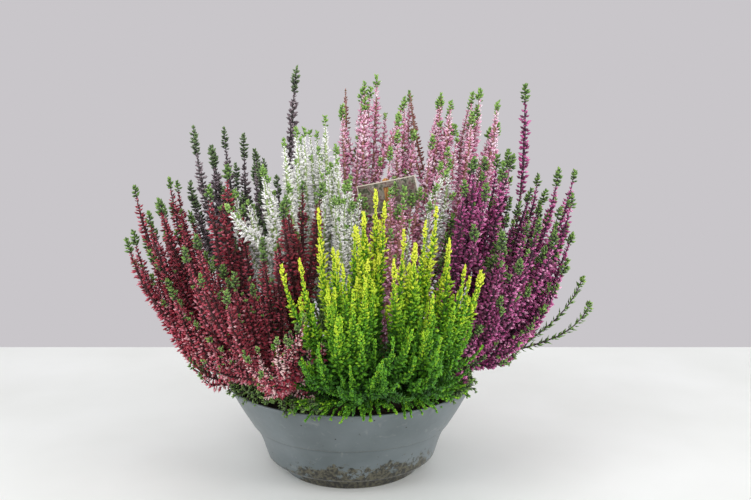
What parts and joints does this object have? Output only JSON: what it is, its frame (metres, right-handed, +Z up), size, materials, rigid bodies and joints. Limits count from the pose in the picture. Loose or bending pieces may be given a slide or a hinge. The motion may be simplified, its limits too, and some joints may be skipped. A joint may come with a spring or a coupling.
{
  "type": "potted heather",
  "caption": "Round grey-blue planter bowl filled with heather plants in crimson, dusky, white, pink, purple and lime, with a blank label on a stake.",
  "frame": {"origin": "centre of the flat face that the bowl stands on", "axes": "+Z up, +X to the right of the planting's front, -Y towards the front, where the lime plant is"},
  "size_m": [0.3538, 0.2661, 0.3102],
  "materials": {
    "bowl_plastic": "matte",
    "potting_soil": "matte",
    "root_ball": "matte",
    "woody_stem": "matte",
    "heather_crimson": "matte",
    "heather_dusky": "matte",
    "heather_white": "matte",
    "heather_pink": "matte",
    "heather_purple": "matte",
    "heather_lime": "matte",
    "label_wood": "matte",
    "label_card": "matte"
  },
  "bodies": {
    "root": {"crown_crimson": "woody_stem", "crown_dusky": "woody_stem", "crown_lime": "woody_stem", "crown_pink": "woody_stem", "crown_purple": "woody_stem", "crown_white": "woody_stem", "label_card": "label_card", "label_stake": "label_wood", "planter_bowl": "bowl_plastic", "potting_soil": "potting_soil", "root_ball_crimson": "root_ball", "root_ball_dusky": "root_ball", "root_ball_lime": "root_ball", "root_ball_pink": "root_ball", "root_ball_purple": "root_ball", "root_ball_white": "root_ball", "spray_crimson_1": "heather_crimson", "spray_crimson_2": "heather_crimson", "spray_crimson_3": "heather_crimson", "spray_crimson_4": "heather_crimson", "spray_crimson_5": "heather_crimson", "spray_crimson_6": "heather_crimson", "spray_crimson_7": "heather_crimson", "spray_crimson_8": "heather_crimson", "spray_crimson_9": "heather_crimson", "spray_dusky_1": "heather_dusky", "spray_dusky_2": "heather_dusky", "spray_dusky_3": "heather_dusky", "spray_dusky_4": "heather_dusky", "spray_dusky_5": "heather_dusky", "spray_dusky_6": "heather_dusky", "spray_lime_1": "heather_lime", "spray_lime_2": "heather_lime", "spray_lime_3": "heather_lime", "spray_lime_4": "heather_lime", "spray_lime_5": "heather_lime", "spray_lime_6": "heather_lime", "spray_lime_7": "heather_lime", "spray_pink_1": "heather_pink", "spray_pink_2": "heather_pink", "spray_pink_3": "heather_pink", "spray_pink_4": "heather_pink", "spray_pink_5": "heather_pink", "spray_pink_6": "heather_pink", "spray_pink_7": "heather_pink", "spray_pink_8": "heather_pink", "spray_purple_1": "heather_purple", "spray_purple_2": "heather_purple", "spray_purple_3": "heather_purple", "spray_purple_4": "heather_purple", "spray_purple_5": "heather_purple", "spray_purple_6": "heather_purple", "spray_purple_7": "heather_purple", "spray_purple_8": "heather_purple", "spray_white_1": "heather_white", "spray_white_2": "heather_white", "spray_white_3": "heather_white", "spray_white_4": "heather_white", "spray_white_5": "heather_white", "spray_white_6": "heather_white"}
  },
  "joints": []
}
